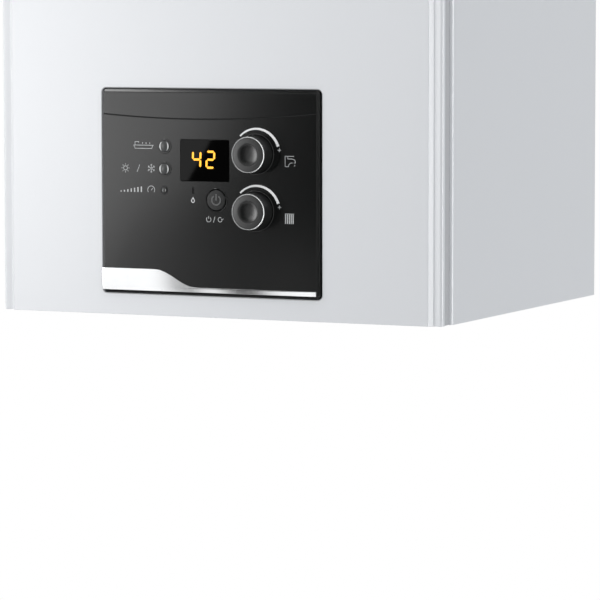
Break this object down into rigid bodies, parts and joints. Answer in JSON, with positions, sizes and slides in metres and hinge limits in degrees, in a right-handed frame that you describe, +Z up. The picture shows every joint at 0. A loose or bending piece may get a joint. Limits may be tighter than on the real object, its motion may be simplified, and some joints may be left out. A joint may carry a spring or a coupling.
{
  "type": "wall-mounted gas boiler",
  "caption": "Wall-hung combination gas boiler with lift-off front cover, black control fascia with knobs and display, coaxial flue collar and recessed pipe connections.",
  "frame": {"origin": "on the back frame's back face, which lies on the wall, midway between the two upper hanging slots", "axes": "+Z up, +Y into the wall, so the front cover faces -Y; +X to the right of someone facing the boiler"},
  "size_m": [0.41, 0.3672, 0.7853],
  "materials": {
    "white_enamel": "satin white enamel",
    "zinc_steel": "zinc plated",
    "black_plastic": "satin black",
    "gloss_black": "gloss black",
    "bright_chrome": "chrome",
    "black_glass": "polished black window",
    "clear_lens": "clear lens",
    "circuit_board": "lacquered board",
    "grey_foam": "open-cell foam",
    "ceramic_fibre": "pressed ceramic fibre board",
    "white_ceramic": "glazed ceramic",
    "copper": "copper",
    "brass": "machined brass",
    "cast_aluminium": "die cast",
    "cast_iron": "painted casting",
    "black_paint": "black paint",
    "red_paint": "red enamel",
    "red_plastic": "red plastic"
  },
  "bodies": {
    "chassis": {"back_frame": "zinc_steel", "side_panel_left": "white_enamel", "side_panel_right": "white_enamel", "top_panel": "white_enamel", "floor_plate": "zinc_steel", "cable_gland": "black_plastic", "heating_flow_stub": "brass", "hot_water_stub": "brass", "gas_stub": "brass", "cold_water_stub": "brass", "heating_return_stub": "brass", "control_housing": "black_plastic", "fascia": "gloss_black", "fascia_trim": "bright_chrome", "display_window": "black_glass", "control_board": "circuit_board", "pressure_lamp": "clear_lens", "burner_lamp": "clear_lens", "burner_cradle": "zinc_steel", "burner_tray": "zinc_steel", "burner_blades": "zinc_steel", "gas_manifold": "cast_aluminium", "combustion_chamber": "zinc_steel", "chamber_lining": "ceramic_fibre", "ignition_electrodes": "white_ceramic", "heat_exchanger": "copper", "flue_hood": "zinc_steel", "fan_housing": "zinc_steel", "fan_motor": "zinc_steel", "flue_collar": "zinc_steel", "pressure_switch": "black_plastic", "flow_block": "brass", "return_block": "brass", "plate_exchanger": "zinc_steel", "gas_valve": "cast_aluminium", "gas_pipe": "copper", "flow_pipe": "copper", "return_pipe": "copper", "pump_volute": "cast_iron", "pump_motor": "black_paint", "diverter_motor": "black_plastic", "safety_valve": "brass", "filling_valve": "brass", "expansion_vessel": "red_paint", "vessel_pipe": "copper", "air_vent": "brass"},
    "cover": {"front_cover": "white_enamel", "cover_insulation": "grey_foam"},
    "upper_knob": {"dhw_knob": "black_plastic", "dhw_knob_rim": "bright_chrome"},
    "lower_knob": {"heating_knob": "black_plastic", "heating_knob_rim": "bright_chrome"},
    "upper_push_button": {"upper_button": "bright_chrome"},
    "lower_push_button": {"lower_button": "bright_chrome"},
    "power_push_button": {"power_button": "black_plastic"},
    "fan": {"fan_rotor": "cast_aluminium"},
    "pump": {"pump_impeller": "black_plastic"},
    "diverter": {"diverter_stem": "zinc_steel"},
    "relief": {"relief_cap": "red_plastic"},
    "filling": {"filling_knob": "black_plastic"}
  },
  "joints": [
    {"name": "cover_lift_off", "type": "slide", "parent": "chassis", "child": "cover", "axis": [0, -1, 0], "range_m": [0, 0.3]},
    {"name": "dhw_knob_turn", "type": "hinge", "parent": "chassis", "child": "upper_knob", "pos_m": [0.039, -0.3521, -0.553], "axis": [0, -1, 0], "range_deg": [-135, 135]},
    {"name": "heating_knob_turn", "type": "hinge", "parent": "chassis", "child": "lower_knob", "pos_m": [0.039, -0.3521, -0.6], "axis": [0, -1, 0], "range_deg": [-135, 135]},
    {"name": "upper_button_press", "type": "slide", "parent": "chassis", "child": "upper_push_button", "axis": [0, 1, 0], "range_m": [0, 0.0012], "stiffness_N_per_m": 300, "springref_m": -0.001},
    {"name": "lower_button_press", "type": "slide", "parent": "chassis", "child": "lower_push_button", "axis": [0, 1, 0], "range_m": [0, 0.0012], "stiffness_N_per_m": 300, "springref_m": -0.001},
    {"name": "power_button_press", "type": "slide", "parent": "chassis", "child": "power_push_button", "axis": [0, 1, 0], "range_m": [0, 0.0012], "stiffness_N_per_m": 300, "springref_m": -0.001},
    {"name": "fan_spin", "type": "hinge", "parent": "chassis", "child": "fan", "pos_m": [-0.062, -0.18, -0.1308], "axis": [0, 0, 1], "continuous": true},
    {"name": "pump_spin", "type": "hinge", "parent": "chassis", "child": "pump", "pos_m": [0.132, -0.184, -0.525], "axis": [0, -1, 0], "continuous": true},
    {"name": "diverter_stroke", "type": "slide", "parent": "chassis", "child": "diverter", "axis": [0, 1, 0], "range_m": [0, 0.006]},
    {"name": "relief_cap_turn", "type": "hinge", "parent": "chassis", "child": "relief", "pos_m": [0.082, -0.2083, -0.602], "axis": [0, -1, 0], "range_deg": [0, 90]},
    {"name": "filling_knob_turn", "type": "hinge", "parent": "chassis", "child": "filling", "pos_m": [0.097, -0.152, -0.658], "axis": [0, 0, 1], "range_deg": [0, 270]}
  ]
}
